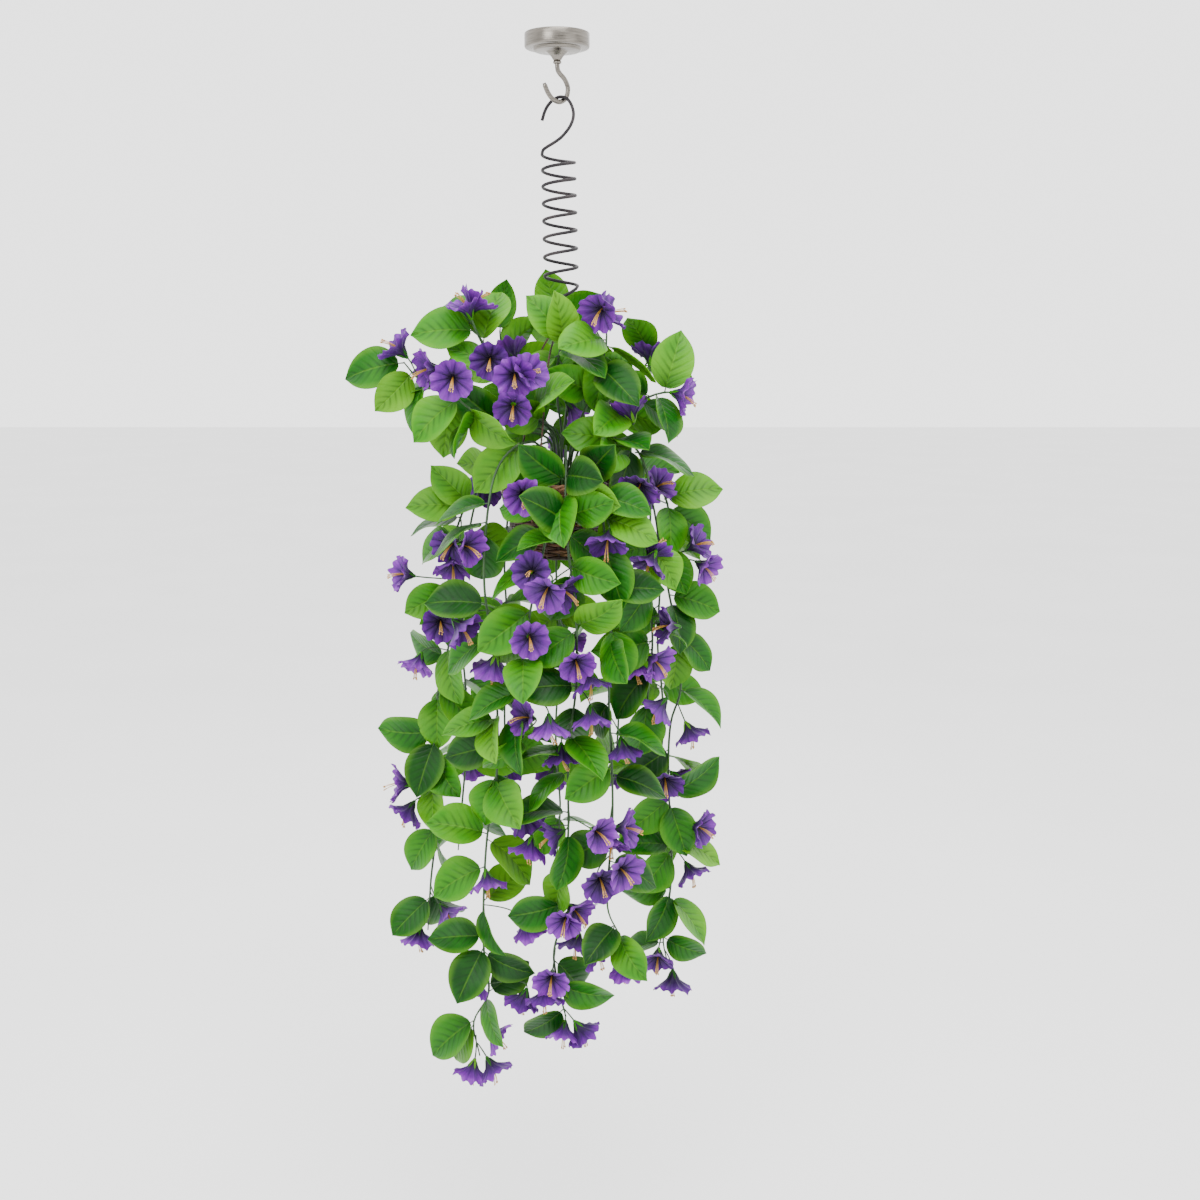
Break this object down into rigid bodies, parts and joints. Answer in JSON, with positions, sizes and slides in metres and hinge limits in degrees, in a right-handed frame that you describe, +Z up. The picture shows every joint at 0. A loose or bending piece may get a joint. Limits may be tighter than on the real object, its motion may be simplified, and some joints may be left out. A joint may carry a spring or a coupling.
{
  "type": "hanging basket of trailing flowers",
  "caption": "Small woven basket of trailing leafy sprays with trumpet blooms, hung by three wires from a coiled wire on a ceiling hook.",
  "frame": {"origin": "centre of the ceiling plate's flat upper face, which lies against the ceiling", "axes": "+Z up out of that face, +X to the right and +Y away from the viewer, seen from the front"},
  "size_m": [0.4158, 0.3439, 1.1473],
  "materials": {
    "nickel": "brushed",
    "dark_wire": "satin",
    "brown_wire": "matte",
    "willow": "matte",
    "foam": "matte",
    "leaf": "satin",
    "stem": "satin",
    "petal": "matte",
    "stamen": "matte"
  },
  "bodies": {
    "root": {"ceiling_plate": "nickel", "ceiling_hook": "nickel", "coil_hanger": "dark_wire", "leg_harness": "brown_wire", "basket": "willow", "foam_block": "foam", "spray_right_outer": "leaf", "spray_right_inner": "leaf", "spray_front_right": "leaf", "spray_front_centre": "leaf", "spray_front_left": "leaf", "spray_left_inner": "leaf", "spray_left_outer": "leaf", "spray_back_left": "leaf", "spray_back_left_inner": "leaf", "spray_back_centre": "leaf", "spray_back_right_inner": "leaf", "spray_back_right": "leaf", "spray_far_left": "leaf", "spray_low_left": "leaf", "spray_mid_left": "leaf", "spray_centre_left": "leaf", "spray_back_left_high": "leaf", "spray_centre_high": "leaf", "spray_centre_back": "leaf", "spray_mid_right": "leaf", "spray_low_right": "leaf", "spray_back_right_high": "leaf", "spray_rear_left": "leaf", "spray_rear_right": "leaf"}
  },
  "joints": []
}
